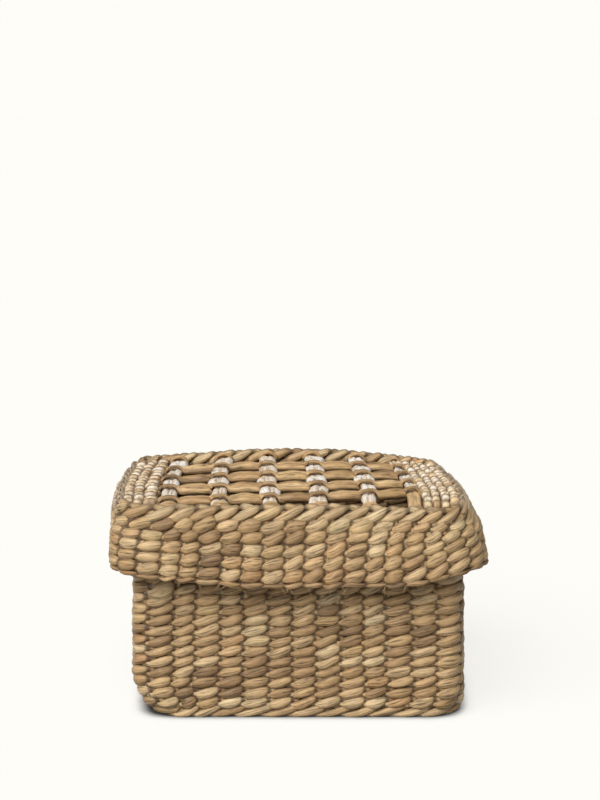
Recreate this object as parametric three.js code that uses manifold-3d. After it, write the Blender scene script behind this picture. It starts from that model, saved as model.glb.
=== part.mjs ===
// Woven lidded box: a twined rush basket with a loose lift-off lid whose top is an open lattice.
// Millimetres, +Z up. The origin is the middle of the underside and the front faces -Y.
import * as THREE from "three";
import Module from "manifold-3d";

const wasm = await Module();
wasm.setup();

// Fits
const gap = 0.3; // left between pieces that touch
const lidPlay = 3.5; // sideways room between the rim and the lid's stakes

// Base sizes
const baseWidth = 239;
const baseDepth = 169;
const baseHeight = 149.7;
const baseCornerRadius = 12;
const baseRowCount = 18;
const baseStitchCount = 44;
const baseStrandThickness = 5.5;
const bottomBorderHeight = 7;
const rimBorderHeight = 6.8;
const baseBorderStitchCount = 39;
const footRoundHeight = 22; // the wall turns under below this height
const footRoundInset = 3;
const footCornerRadius = 36; // of the corners at the very bottom
const rimDrawIn = 3;
const floorThickness = 6;

// Stake sizes
const stakeWidth = 6;
const stakeThickness = 2.6;
const tieCourseHeight = 6; // the course that ties the stakes side by side
const tieCourseThickness = 1.8;
const baseStakeCount = 23;
const lidStakeCount = 14;

// Stitch shape
const stitchRelief = 2.2; // depth of the seam between two stitches
const stitchLean = 0.1; // how far a seam leans each way, as a share of a stitch
const borderLean = 0.3;
const bandRelief = 1.6;

// Lid sizes
const lidCornerRadius = 30;
const lidWallHeight = 59.2;
const lidRowCount = 5;
const lidStitchCount = 58;
const lidStrandThickness = 6.5;
const lidHemHeight = 4;
const lidBorderStitchCount = 54;
const lidFlare = 5; // how far the hem stands out past the shoulder
const shoulderCrown = 0.8; // height of the shoulder over the lattice

// Lattice sizes
const ribCount = 6;
const ribWidth = 9.4;
const ribThickness = 4.2;
const ribWaist = 0.9; // how much a loop draws a rib in
const crossRowCount = 4;
const strandWidth = 6.4;
const strandThickness = 6.6;
const loopThickness = 2.8; // of a strand where it loops round a rib
const tailThickness = 3.2; // of a strand where it runs out under a side band
const leftBandRows = 3;
const rightBandRows = 4;
const bandRowPitch = 7.2;
const bandStitchLength = 14.5;
const loopRoom = 4.4; // between a side band and the rib beside it

// Facets
const cornerSteps = 3;
const ribSides = 6;
const strandSides = 5;

// Heights that follow from the sizes above
const baseRowPitch = (baseHeight - bottomBorderHeight - rimBorderHeight) / baseRowCount;
const lidSeat = baseHeight + gap;
const latticeMiddle = lidSeat + ribThickness / 2;
const loopLift = ribThickness / 2 + gap + loopThickness / 2;
const latticeTop = latticeMiddle + loopLift + loopThickness / 2;
const lidTop = latticeTop + shoulderCrown;
const lidRowPitch = (lidWallHeight - lidHemHeight) / (lidRowCount + 1);
const lidBottom = lidTop - lidWallHeight;

// How far the foot has turned under, from 0 on the upright wall to 1 on the ground.
const turnUnder = (z) => {
  const low = Math.max(0, 1 - z / footRoundHeight);
  return 1 - Math.sqrt(1 - low * low);
};
// The two walls: a rounded rectangle, moved out or in by offsetAt and with the corners of radiusAt at
// each height.
const baseWall = {
  halfWidth: baseWidth / 2,
  halfDepth: baseDepth / 2,
  offsetAt: (z) => {
    const high = Math.max(0, z - footRoundHeight) / (baseHeight - footRoundHeight);
    return -footRoundInset * turnUnder(z) - rimDrawIn * high;
  },
  radiusAt: (z) => baseCornerRadius + (footCornerRadius - baseCornerRadius) * turnUnder(z),
};
// A course's inner corners are flats, which stand in from the true arc by this much.
const cornerSag = (radius) => radius * (1 - Math.cos(Math.PI / 4 / cornerSteps));
const baseStakeInset = baseStrandThickness + gap + cornerSag(baseCornerRadius - baseStrandThickness);
const lidStakeInset = lidStrandThickness + gap + cornerSag(lidCornerRadius - lidStrandThickness);
const flareAt = (z) => {
  const up = (z - lidBottom) / lidWallHeight;
  return lidFlare * (1 - up * up);
};
const lidReach = lidPlay + stakeThickness + lidStakeInset - rimDrawIn - flareAt(baseHeight);
const lidWall = {
  halfWidth: baseWidth / 2 + lidReach,
  halfDepth: baseDepth / 2 + lidReach,
  offsetAt: flareAt,
  radiusAt: () => lidCornerRadius,
};
const lidInnerHalfWidth = lidWall.halfWidth - lidStrandThickness;
const lidInnerHalfDepth = lidWall.halfDepth - lidStrandThickness;

// Lattice places
const leftBandEdge = -lidInnerHalfWidth + leftBandRows * bandRowPitch;
const rightBandEdge = lidInnerHalfWidth - rightBandRows * bandRowPitch;
const firstRibX = leftBandEdge + loopRoom + ribWidth / 2;
const lastRibX = rightBandEdge - loopRoom - ribWidth / 2;
const ribPitch = (lastRibX - firstRibX) / (ribCount - 1);
const crossRowPitch = (2 * lidInnerHalfDepth) / (crossRowCount + 1);
const ribPlaces = Array.from({ length: ribCount }, (_, i) => firstRibX + i * ribPitch);
const crossRowPlaces = Array.from(
  { length: crossRowCount },
  (_, i) => -lidInnerHalfDepth + (i + 1) * crossRowPitch,
);

// Materials
const rush = new THREE.MeshStandardMaterial({ color: 0xb4946a, roughness: 0.72, metalness: 0 });
const borderRush = new THREE.MeshStandardMaterial({ color: 0xa88a5f, roughness: 0.72, metalness: 0 });
const brownRush = new THREE.MeshStandardMaterial({ color: 0x9a7a50, roughness: 0.7, metalness: 0 });
const paleRush = new THREE.MeshStandardMaterial({ color: 0xe4d8c4, roughness: 0.65, metalness: 0 });
const stakeRush = new THREE.MeshStandardMaterial({ color: 0x8d7450, roughness: 0.8, metalness: 0 });

const box = new THREE.Group();

function addPiece(parent, name, geometry, material) {
  const mesh = new THREE.Mesh(geometry, material);
  mesh.name = name;
  parent.add(mesh);
}

function geometryFrom(points, faces) {
  const geometry = new THREE.BufferGeometry().setFromPoints(points);
  geometry.setIndex(faces.flat());
  geometry.computeVertexNormals();
  return geometry;
}

// A rounded rectangle walked from the middle of its front, to the right and round.
function outlinePath(halfWidth, halfDepth, radius) {
  const flatX = halfWidth - radius;
  const flatY = halfDepth - radius;
  const quarter = Math.PI / 2;
  const path = new THREE.Path();
  path.moveTo(0, -halfDepth);
  path.lineTo(flatX, -halfDepth);
  path.absarc(flatX, -flatY, radius, -quarter, 0);
  path.lineTo(halfWidth, flatY);
  path.absarc(flatX, flatY, radius, 0, quarter);
  path.lineTo(-flatX, halfDepth);
  path.absarc(-flatX, flatY, radius, quarter, 2 * quarter);
  path.lineTo(-halfWidth, -flatY);
  path.absarc(-flatX, -flatY, radius, 2 * quarter, 3 * quarter);
  path.lineTo(0, -halfDepth);
  return path;
}

function wallOutline(wall, z) {
  const offset = wall.offsetAt(z);
  return outlinePath(wall.halfWidth + offset, wall.halfDepth + offset, wall.radiusAt(z));
}

// A point on an outline, moved in by inset square to it.
function outlinePoint(path, fraction, inset, z) {
  const around = THREE.MathUtils.euclideanModulo(fraction, 1);
  const place = path.getPoint(around);
  const along = path.getTangent(around);
  return new THREE.Vector3(place.x - along.y * inset, place.y + along.x * inset, z);
}

// The fractions of an outline where its corners need points.
function cornerFractions(path) {
  const lengths = path.getCurveLengths();
  const whole = lengths[lengths.length - 1];
  const found = [0];
  path.curves.forEach((curve, i) => {
    if (!curve.isEllipseCurve) return;
    const start = lengths[i - 1];
    for (let k = 0; k <= cornerSteps; k++) {
      found.push((start + ((lengths[i] - start) * k) / cornerSteps) / whole);
    }
  });
  return found;
}

// Fills the strip between two chains of points that run side by side, each given with its fractions.
function zipper(outer, inner, addFace) {
  let o = 0;
  let i = 0;
  while (o < outer.length - 1 || i < inner.length - 1) {
    const outerNext = o < outer.length - 1 ? outer[o + 1].fraction : Infinity;
    const innerNext = i < inner.length - 1 ? inner[i + 1].fraction : Infinity;
    if (outerNext <= innerNext) {
      addFace(outer[o].index, outer[o + 1].index, inner[i].index);
      o += 1;
    } else {
      addFace(outer[o].index, inner[i + 1].index, inner[i].index);
      i += 1;
    }
  }
}

// One course of twining. Each stitch is a pad that swells to its middle and sinks to a seam at each
// end, and the seams lean. pointAt(fraction, inset, across) gives a place on the course, with across
// running from -1 to 1 over its height. backFractions(across) gives the places of the flat back's points.
function stitchCourse({ pointAt, closed, stitches, relief, thickness, lean, backFractions }) {
  const points = [];
  const faces = [];
  const keep = (fraction, inset, across) => {
    points.push(pointAt(fraction, inset, across));
    return { fraction, index: points.length - 1 };
  };
  const addFace = (a, b, c) => faces.push([a, b, c]);
  const addTurnedFace = (a, b, c) => faces.push([a, c, b]);
  const closeChain = (chain) => chain.push({ fraction: chain[0].fraction + 1, index: chain[0].index });

  const seamTops = [];
  const seamBottoms = [];
  const seams = closed ? stitches : stitches + 1;
  for (let k = 0; k < seams; k++) {
    const slant = closed || (k > 0 && k < stitches) ? lean : 0;
    seamTops.push(keep((k + slant) / stitches, relief, 1));
    seamBottoms.push(keep((k - slant) / stitches, relief, -1));
  }
  const backTop = backFractions(1).map((f) => keep(f, thickness, 1));
  const backBottom = backFractions(-1).map((f) => keep(f, thickness, -1));
  if (closed) {
    [seamTops, seamBottoms, backTop, backBottom].forEach(closeChain);
  }

  for (let k = 0; k < stitches; k++) {
    const crown = keep((k + 0.5) / stitches, 0, 0).index;
    addFace(seamBottoms[k].index, seamBottoms[k + 1].index, crown);
    addFace(seamBottoms[k + 1].index, seamTops[k + 1].index, crown);
    addFace(seamTops[k + 1].index, seamTops[k].index, crown);
    addFace(seamTops[k].index, seamBottoms[k].index, crown);
  }
  zipper(seamTops, backTop, addFace);
  zipper(seamBottoms, backBottom, addTurnedFace);
  for (let j = 0; j < backTop.length - 1; j++) {
    addFace(backTop[j].index, backTop[j + 1].index, backBottom[j + 1].index);
    addFace(backTop[j].index, backBottom[j + 1].index, backBottom[j].index);
  }
  if (!closed) {
    const last = backTop.length - 1;
    addFace(seamBottoms[0].index, seamTops[0].index, backTop[0].index);
    addFace(seamBottoms[0].index, backTop[0].index, backBottom[0].index);
    addTurnedFace(seamBottoms[stitches].index, seamTops[stitches].index, backTop[last].index);
    addTurnedFace(seamBottoms[stitches].index, backTop[last].index, backBottom[last].index);
  }
  return geometryFrom(points, faces);
}

// A course that runs right round a wall between two heights.
function wallCourse(wall, bottom, top, { stitches, thickness, lean }) {
  const middle = (bottom + top) / 2;
  const heights = [bottom, middle, top];
  const outlines = heights.map((z) => wallOutline(wall, z));
  return stitchCourse({
    pointAt: (fraction, inset, across) =>
      outlinePoint(outlines[across + 1], fraction, inset, heights[across + 1]),
    closed: true,
    stitches,
    relief: stitchRelief,
    thickness,
    lean,
    backFractions: (across) => cornerFractions(outlines[across + 1]),
  });
}

// The clear half depth of the lid's top at a place across it: less in the corners.
function latticeReach(x) {
  const flatX = lidWall.halfWidth - lidCornerRadius;
  const flatY = lidWall.halfDepth - lidCornerRadius;
  const radius = lidCornerRadius - lidStrandThickness - gap;
  const intoCorner = Math.max(0, Math.abs(x) - flatX);
  return flatY + Math.sqrt(Math.max(0, radius * radius - intoCorner * intoCorner));
}

// A straight course of a side band, running front to back on the lid's top.
function bandCourse(middleX) {
  const halfWidth = (bandRowPitch - gap) / 2;
  const bottom = lidSeat + tailThickness + gap;
  return stitchCourse({
    pointAt: (fraction, inset, across) => {
      const x = middleX - across * halfWidth;
      return new THREE.Vector3(x, (2 * fraction - 1) * latticeReach(x), latticeTop - inset);
    },
    closed: false,
    stitches: Math.round((2 * latticeReach(middleX)) / bandStitchLength),
    relief: bandRelief,
    thickness: latticeTop - bottom,
    lean: stitchLean,
    backFractions: () => [0, 1],
  });
}

// A closed tube of oval section through stations, each with a centre and two half axes.
function ovalTube(stations, sides) {
  const points = [];
  const faces = [];
  for (const { centre, up, side } of stations) {
    for (let k = 0; k < sides; k++) {
      const angle = (2 * Math.PI * k) / sides;
      const place = centre.clone();
      place.addScaledVector(side, Math.cos(angle));
      place.addScaledVector(up, Math.sin(angle));
      points.push(place);
    }
  }
  const last = (stations.length - 1) * sides;
  for (let k = 0; k < sides; k++) {
    const next = (k + 1) % sides;
    for (let ring = 0; ring < last; ring += sides) {
      faces.push([ring + k, ring + sides + next, ring + sides + k]);
      faces.push([ring + k, ring + next, ring + sides + next]);
    }
    if (k > 0 && next > 0) {
      faces.push([0, next, k]);
      faces.push([last, last + k, last + next]);
    }
  }
  return geometryFrom(points, faces);
}

// A rib with a flat top and underside, running front to back and drawn in where each cross row loops
// round it.
function ribShape(x) {
  const end = lidInnerHalfDepth - gap;
  const places = [-end];
  for (const y of crossRowPlaces) {
    places.push(y - crossRowPitch / 2, y);
  }
  places.push(crossRowPlaces[crossRowCount - 1] + crossRowPitch / 2, end);
  return ovalTube(
    places.map((y) => {
      const waist = crossRowPlaces.includes(y) ? ribWaist / 2 : 0;
      return {
        centre: new THREE.Vector3(x, y, latticeMiddle),
        side: new THREE.Vector3(-ribWidth / 2 + waist, 0, 0),
        up: new THREE.Vector3(0, 0, ribThickness / 2 / Math.sin((2 * Math.PI) / ribSides)),
      };
    }),
    ribSides,
  );
}

// One of the two strands of a cross row. It passes over one rib and under the next, and twists
// round its partner between them, where both swell. turn is 1 or -1 for the two partners.
function crossStrand(y, turn) {
  const swing = strandWidth / 2 + gap;
  const station = (x, sway, lift, thickness) => ({
    centre: new THREE.Vector3(x, y + sway, latticeMiddle + lift),
    side: new THREE.Vector3(0, strandWidth / 2, 0),
    up: new THREE.Vector3(0, 0, thickness / 2),
  });
  const tailLift = lidSeat + tailThickness / 2 - latticeMiddle;
  const halfRib = ribWidth / 2;
  const stations = [
    station(-lidInnerHalfWidth + gap, turn * swing, tailLift, tailThickness),
    station(leftBandEdge, turn * swing, tailLift, tailThickness),
  ];
  ribPlaces.forEach((x, i) => {
    const over = i % 2 === 0 ? turn : -turn;
    stations.push(station(x - halfRib, 0, over * loopLift, loopThickness));
    stations.push(station(x + halfRib, 0, over * loopLift, loopThickness));
    if (i === ribCount - 1) return;
    const open = ribPitch - ribWidth;
    for (const share of [0.25, 0.5, 0.75]) {
      const angle = Math.PI * share;
      const swell = Math.sin(angle) ** 2;
      const thickness = loopThickness + (strandThickness - loopThickness) * swell;
      const sway = -over * swing * Math.sin(angle);
      stations.push(station(x + halfRib + open * share, sway, over * loopLift * Math.cos(angle), thickness));
    }
  });
  const lastOver = ribCount % 2 === 1 ? turn : -turn;
  stations.push(station(rightBandEdge, -lastOver * swing, tailLift, tailThickness));
  stations.push(station(lidInnerHalfWidth - gap, -lastOver * swing, tailLift, tailThickness));
  return ovalTube(stations, strandSides);
}

function solidFrom(points, faces) {
  const vertProperties = new Float32Array(points.flatMap((p) => p.toArray()));
  const triVerts = new Uint32Array(faces.flat());
  return new wasm.Manifold(new wasm.Mesh({ numProp: 3, vertProperties, triVerts }));
}

function geometryOf(solid) {
  const { numProp, vertProperties, triVerts } = solid.getMesh();
  const points = [];
  for (let i = 0; i < vertProperties.length; i += numProp) {
    points.push(new THREE.Vector3().fromArray(vertProperties, i));
  }
  return geometryFrom(points, [Array.from(triVerts)]);
}

// The faces of a bar of four-sided section through the given number of stations.
function barFaces(stationCount, closed) {
  const faces = [];
  const links = closed ? stationCount : stationCount - 1;
  for (let s = 0; s < links; s++) {
    const here = 4 * s;
    const there = 4 * ((s + 1) % stationCount);
    for (let k = 0; k < 4; k++) {
      const next = (k + 1) % 4;
      faces.push([here + k, there + next, there + k], [here + k, here + next, there + next]);
    }
  }
  if (!closed) {
    const last = 4 * (stationCount - 1);
    faces.push([0, 2, 1], [0, 3, 2], [last, last + 1, last + 2], [last, last + 2, last + 3]);
  }
  return faces;
}

// Upright stakes along the inner face of a wall, tied side by side by one course.
function tiedStakes(wall, { count, inset, bottom, top, tieBottom }) {
  const section = (z, fractions, insets) => {
    const path = wallOutline(wall, z);
    return fractions.map((f, k) => outlinePoint(path, f, insets[k], z));
  };
  const tieOut = inset + (stakeThickness - tieCourseThickness) / 2;
  const tieIn = tieOut + tieCourseThickness;
  const tieTop = tieBottom + tieCourseHeight;
  const fractions = cornerFractions(wallOutline(wall, tieBottom));
  const tiePoints = fractions.flatMap((f) => [
    ...section(tieBottom, [f, f], [tieOut, tieIn]),
    ...section(tieTop, [f, f], [tieIn, tieOut]),
  ]);
  let solid = solidFrom(tiePoints, barFaces(fractions.length, true));
  const perimeter = wallOutline(wall, tieBottom).getLength();
  const half = stakeWidth / 2 / perimeter;
  for (let k = 0; k < count; k++) {
    const middle = (k + 0.5) / count;
    const around = [middle - half, middle + half, middle + half, middle - half];
    const insets = [inset, inset, inset + stakeThickness, inset + stakeThickness];
    const stakePoints = [...section(bottom, around, insets), ...section(top, around, insets)];
    solid = solid.add(solidFrom(stakePoints, barFaces(2, false)));
  }
  return geometryOf(solid);
}

// The woven mat that closes the underside.
function floorShape() {
  const inset = footRoundInset + baseStrandThickness + gap;
  const radius = footCornerRadius - baseStrandThickness - gap;
  const outline = outlinePath(baseWidth / 2 - inset, baseDepth / 2 - inset, radius);
  const shape = new THREE.Shape(cornerFractions(outline).map((f) => outline.getPoint(f)));
  return new THREE.ExtrudeGeometry(shape, { depth: floorThickness, bevelEnabled: false });
}

const twoDigits = (n) => String(n).padStart(2, "0");

// Base
const base = new THREE.Group();
box.add(base);
const baseCourse = { stitches: baseStitchCount, thickness: baseStrandThickness, lean: stitchLean };
const baseBorder = { stitches: baseBorderStitchCount, thickness: baseStrandThickness, lean: borderLean };
addPiece(base, "base_floor", floorShape(), borderRush);
addPiece(base, "base_bottom_border", wallCourse(baseWall, 0, bottomBorderHeight - gap, baseBorder), borderRush);
for (let row = 0; row < baseRowCount; row++) {
  const bottom = bottomBorderHeight + row * baseRowPitch;
  const course = wallCourse(baseWall, bottom, bottom + baseRowPitch - gap, baseCourse);
  addPiece(base, `base_row_${twoDigits(row + 1)}`, course, rush);
}
const rimBottom = baseHeight - rimBorderHeight;
addPiece(base, "base_rim_border", wallCourse(baseWall, rimBottom, baseHeight, baseBorder), borderRush);
const baseStakes = tiedStakes(baseWall, {
  count: baseStakeCount,
  inset: baseStakeInset,
  bottom: footRoundHeight,
  top: baseHeight - gap,
  tieBottom: footRoundHeight,
});
addPiece(base, "base_stakes", baseStakes, stakeRush);

// Lid wall
const lid = new THREE.Group();
box.add(lid);
const lidCourse = { stitches: lidStitchCount, thickness: lidStrandThickness, lean: stitchLean };
const lidBorder = { stitches: lidBorderStitchCount, thickness: lidStrandThickness, lean: borderLean };
addPiece(lid, "lid_hem", wallCourse(lidWall, lidBottom, lidBottom + lidHemHeight - gap, lidBorder), borderRush);
for (let row = 0; row < lidRowCount; row++) {
  const bottom = lidBottom + lidHemHeight + row * lidRowPitch;
  const course = wallCourse(lidWall, bottom, bottom + lidRowPitch - gap, lidCourse);
  addPiece(lid, `lid_wall_row_${row + 1}`, course, rush);
}
const shoulder = wallCourse(lidWall, lidTop - lidRowPitch, lidTop, lidBorder);
addPiece(lid, "lid_shoulder_border", shoulder, borderRush);
const lidStakes = tiedStakes(lidWall, {
  count: lidStakeCount,
  inset: lidStakeInset,
  bottom: lidBottom + gap,
  top: lidSeat - gap,
  tieBottom: lidSeat - gap - tieCourseHeight,
});
addPiece(lid, "lid_stakes", lidStakes, stakeRush);

// Lid top
for (let row = 0; row < leftBandRows; row++) {
  const x = -lidInnerHalfWidth + (row + 0.5) * bandRowPitch;
  addPiece(lid, `lid_left_band_row_${row + 1}`, bandCourse(x), paleRush);
}
for (let row = 0; row < rightBandRows; row++) {
  const x = lidInnerHalfWidth - (row + 0.5) * bandRowPitch;
  addPiece(lid, `lid_right_band_row_${row + 1}`, bandCourse(x), paleRush);
}
ribPlaces.forEach((x, i) => {
  addPiece(lid, `lid_rib_${i + 1}`, ribShape(x), paleRush);
});
crossRowPlaces.forEach((y, i) => {
  const turn = i % 2 === 0 ? 1 : -1;
  addPiece(lid, `lid_cross_row_${i + 1}a`, crossStrand(y, turn), brownRush);
  addPiece(lid, `lid_cross_row_${i + 1}b`, crossStrand(y, -turn), brownRush);
});

export default box;
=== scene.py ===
import math
from dataclasses import dataclass

import bpy
import numpy as np
from mathutils import Matrix, Vector


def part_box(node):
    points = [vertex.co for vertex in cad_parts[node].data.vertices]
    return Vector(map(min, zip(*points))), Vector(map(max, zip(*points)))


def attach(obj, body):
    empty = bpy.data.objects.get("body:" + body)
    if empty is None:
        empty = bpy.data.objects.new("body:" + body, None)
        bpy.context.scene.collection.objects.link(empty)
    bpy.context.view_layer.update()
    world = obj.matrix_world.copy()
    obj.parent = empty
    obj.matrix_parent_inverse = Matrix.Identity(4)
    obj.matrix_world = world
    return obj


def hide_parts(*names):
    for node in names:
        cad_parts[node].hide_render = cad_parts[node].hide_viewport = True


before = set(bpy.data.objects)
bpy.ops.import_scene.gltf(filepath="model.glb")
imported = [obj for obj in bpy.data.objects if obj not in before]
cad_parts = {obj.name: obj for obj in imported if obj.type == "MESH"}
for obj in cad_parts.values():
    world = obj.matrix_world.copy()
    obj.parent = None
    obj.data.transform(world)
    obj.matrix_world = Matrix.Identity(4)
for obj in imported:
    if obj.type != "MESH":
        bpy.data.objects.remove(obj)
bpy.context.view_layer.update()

bl_info = {
    "name": "Twined rush box",
    "version": (1, 0, 0),
    "blender": (4, 5, 0),
    "location": "View3D > Sidebar > Rush box",
    "description": "Twines a rush box and its lift-off lid over their solids",
    "category": "Object",
}

FULL_TURN = 2.0 * math.pi
QUARTER_TURN = 0.5 * math.pi
WELD = 0.00002
PATH_POINTS = 420
LEAST_CORNER = 0.006
UP = (0.0, 0.0, 1.0)
TO_RIGHT = (1.0, 0.0, 0.0)
TO_BACK = (0.0, 1.0, 0.0)
TO_FRONT = (0.0, -1.0, 0.0)
BASE_ROWS = [f"base_row_{row:02d}" for row in range(1, 19)]
LID_ROWS = [f"lid_wall_row_{row}" for row in range(1, 6)]
LEFT_BANDS = [f"lid_left_band_row_{row}" for row in range(1, 4)]
RIGHT_BANDS = [f"lid_right_band_row_{row}" for row in range(1, 5)]
RIBS = [f"lid_rib_{rib}" for rib in range(1, 7)]

# For each cross row, its slant to the back and how much that grows to the right
CROSS_ROWS = {1: (0.125, 1.4), 2: (0.090, 1.2), 3: (0.070, 1.0), 4: (0.040, 0.6)}


# Sizes and colours that a user would change

def count_property(label, text, value, least):
    return bpy.props.IntProperty(name=label, description=text, default=value, min=least)


def length_property(label, text, value):
    return bpy.props.FloatProperty(
        name=label, description=text, default=value, subtype="DISTANCE", unit="LENGTH", precision=5)


def strength_property(label, text, value):
    return bpy.props.FloatProperty(name=label, description=text, default=value, min=0.0)


def colour_property(label, text, value):
    return bpy.props.FloatVectorProperty(
        name=label, description=text, default=value, size=3, min=0.0, max=1.0, subtype="COLOR")


class RushSizes(bpy.types.PropertyGroup):
    """Sizes of the weave"""

    base_stitches: count_property("Base stitches", "Stitches in one course of the base", 44, 4)
    lid_stitches: count_property("Lid stitches", "Stitches in one course of the lid wall", 58, 4)
    foot_strands: count_property("Foot strands", "Strand passes in the bottom border", 39, 3)
    rim_strands: count_property("Rim strands", "Strand passes in the rim border", 42, 3)
    shoulder_strands: count_property("Shoulder strands", "Strand passes in the shoulder border", 54, 3)
    band_stitches: count_property("Band stitches", "Stitches in one course of a side band", 16, 2)
    floor_courses: count_property("Floor courses", "Courses in the floor mat", 19, 2)
    floor_stitches: count_property("Floor stitches", "Stitches in one course of the floor mat", 14, 2)
    floor_slats: count_property("Floor slats", "Flat stalks inside the floor mat", 24, 1)
    base_radius: length_property("Base corner", "Corner radius of the base", 0.012)
    foot_radius: length_property("Foot corner", "Corner radius of the base on the ground", 0.036)
    foot_height: length_property("Foot height", "Height below which the base's corners turn under", 0.026)
    lid_radius: length_property("Lid corner", "Corner radius of the lid", 0.030)
    swing: length_property("Strand swing", "How far a strand swings out of the wall's middle", 0.0018)
    thickness: length_property("Half thickness", "Half the thickness of a strand", 0.0027)
    proud: length_property("Stands proud", "How far a stitch stands out from the solid", 0.0004)
    corner_lift: length_property("Corner lift", "Rise of the hem at the right front corner", 0.011)
    left_lift: length_property("Left lift", "Rise of the hem at the left front corner", 0.0090)
    right_lean: length_property("Right lean", "How far the lid's right side leans in at its top", 0.0085)
    back_pull: length_property("Back pull", "How much further that side leans in at the back", 0.0050)
    back_drop: length_property("Back drop", "How far the lid's right back corner has sunk", 0.0055)
    left_drop: length_property("Left drop", "How far the lid's left back corner has sunk", 0.0035)
    bow: length_property("Bow", "How far the short sides bow out between the corners", 0.006)
    rib_slant: length_property("Rib slant", "How far the back of the lid's top lies to the left", 0.0033)
    rim_drop: length_property("Rim drop", "How far the lid has pressed the base's rim down", 0.0020)
    foot_tuck: length_property("Foot tuck", "How far the foot of the left side turns under", 0.0105)
    base_shift: length_property("Base shift", "Shift of the base's stitch columns to the right", -0.0036)
    lid_shift: length_property("Lid shift", "Shift of the lid's stitch columns to the right", 0.0045)


class RushColours(bpy.types.PropertyGroup):
    """Colours of the dried rush"""

    umber: colour_property("Umber", "The darkest stalks", (0.185, 0.109, 0.054))
    tan: colour_property("Tan", "Brown stalks", (0.475, 0.289, 0.130))
    straw: colour_property("Straw", "Most stalks", (0.67, 0.444, 0.216))
    pale: colour_property("Pale straw", "The palest stalks", (0.80, 0.60, 0.34))
    # Pale skin of ribs and side bands, which also serves as painted sheen
    pith_and_sheen: colour_property("Pith", "The bleached skin of ribs and side bands", (0.98, 0.945, 0.885))
    # Colour of the painted shade on tucked ends, in crevices and along row edges, and on the dark stakes and
    # slats
    shade: colour_property("Tucked ends", "Ends that dive into the weave", (0.075, 0.044, 0.022))


class RushStudio(bpy.types.PropertyGroup):
    """Camera, backdrop and light"""

    backdrop: colour_property("Backdrop", "Colour of floor and background", (0.99, 0.983, 0.94))
    eye_side: length_property("Eye to the side", "The eye's place across the box", 0.0014)
    eye_back: length_property("Eye back", "The eye's distance in front of the box's middle", 1.3006)
    eye_height: length_property("Eye height", "The eye's height above the floor", 0.4419)
    pitch: bpy.props.FloatProperty(
        name="Pitch", description="How far the camera looks down", default=math.radians(9.88),
        subtype="ANGLE", unit="ROTATION")
    lens: bpy.props.FloatProperty(
        name="Lens", description="Focal length in millimetres on a 36 mm high sensor", default=80.43,
        subtype="DISTANCE_CAMERA", unit="CAMERA")
    key_strength: strength_property("Key strength", "Strength of the soft light from above", 3.04)
    fill_strength: strength_property("Fill strength", "Strength of the soft light from the left", 0.45)
    sky: strength_property("Sky", "Strength of the even light all round", 0.20)


def sizes():
    return bpy.context.scene.rush_sizes


def colours():
    return bpy.context.scene.rush_colours


def studio():
    return bpy.context.scene.rush_studio


# Selecting, welding and handing over

def deselect_all():
    bpy.ops.object.select_all(action="DESELECT")


def pick(piece):
    deselect_all()
    piece.select_set(True)
    bpy.context.view_layer.objects.active = piece


def rename(piece, name):
    piece.name = name
    piece.data.name = name
    return piece


def join(pieces, name):
    pick(pieces[0])
    for piece in pieces:
        piece.select_set(True)
    bpy.ops.object.join()
    return rename(bpy.context.active_object, name)


def weld(piece):
    pick(piece)
    bpy.ops.object.mode_set(mode="EDIT")
    bpy.ops.mesh.select_all(action="SELECT")
    bpy.ops.mesh.remove_doubles(threshold=WELD)
    bpy.ops.mesh.normals_make_consistent(inside=False)
    bpy.ops.object.mode_set(mode="OBJECT")
    bpy.ops.object.shade_smooth()


def points_of(piece):
    points = np.empty(3 * len(piece.data.vertices), dtype=np.float32)
    piece.data.vertices.foreach_get("co", points)
    return points.reshape(-1, 3).astype(np.float64)


def put_points(piece, points):
    piece.data.vertices.foreach_set("co", points.astype(np.float32).ravel())
    piece.data.update()


def strand_places(piece):
    """How far along and how far round its strand each vertex is, from the UV map."""
    mesh = piece.data
    corners = np.empty(len(mesh.loops), dtype=np.int32)
    mesh.loops.foreach_get("vertex_index", corners)
    places = np.empty(2 * len(corners), dtype=np.float32)
    mesh.uv_layers.active.uv.foreach_get("vector", places)
    at_vertex = np.zeros((len(mesh.vertices), 2))
    at_vertex[corners] = places.reshape(-1, 2)
    return at_vertex[:, 0], at_vertex[:, 1]


def stain_and_shade(piece, tone, hue=0.5, tuck_shade=0.0, bleach_and_sheen=0.0):
    """Keep each stalk's tone, hue, painted shade on tucked ends and in crevices, and bleaching, partly
    painted sheen, on the mesh, as numbers or for each vertex.
    """
    stains = np.empty((len(piece.data.vertices), 4))
    for column, value in enumerate((tone, hue, tuck_shade, bleach_and_sheen)):
        stains[:, column] = value
    piece.data.color_attributes.new("stalk", "FLOAT_COLOR", "POINT")
    put_stains(piece, np.clip(stains, 0.0, 1.0).astype(np.float32))


def stains_of(piece):
    stains = np.empty(4 * len(piece.data.vertices), dtype=np.float32)
    piece.data.color_attributes["stalk"].data.foreach_get("color", stains)
    return stains.reshape(-1, 4)


def put_stains(piece, stains):
    piece.data.color_attributes["stalk"].data.foreach_set("color", stains.ravel())


def hand_over(piece, body, slot, nodes, finish=None):
    piece.data.materials.clear()
    piece.data.materials.append(bpy.data.materials[finish or f"{slot}_finish"])
    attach(piece, body)
    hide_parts(*nodes)


# Rush, from one sheet rolled into a strand

def ease(values, start=0.0, end=1.0):
    """Nothing up to the start, one from the end on, and a smooth way between. The end may be the lower."""
    share = np.clip((values - start) / (end - start), 0.0, 1.0)
    return share * share * (3.0 - 2.0 * share)


def round_ends(along, reach, whole=1.0):
    """One along a strand, and down to nothing within reach of its two ends."""
    ends = np.minimum(along, whole - along)
    return np.clip(ends / reach, 0.0, 1.0) ** 0.5


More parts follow.
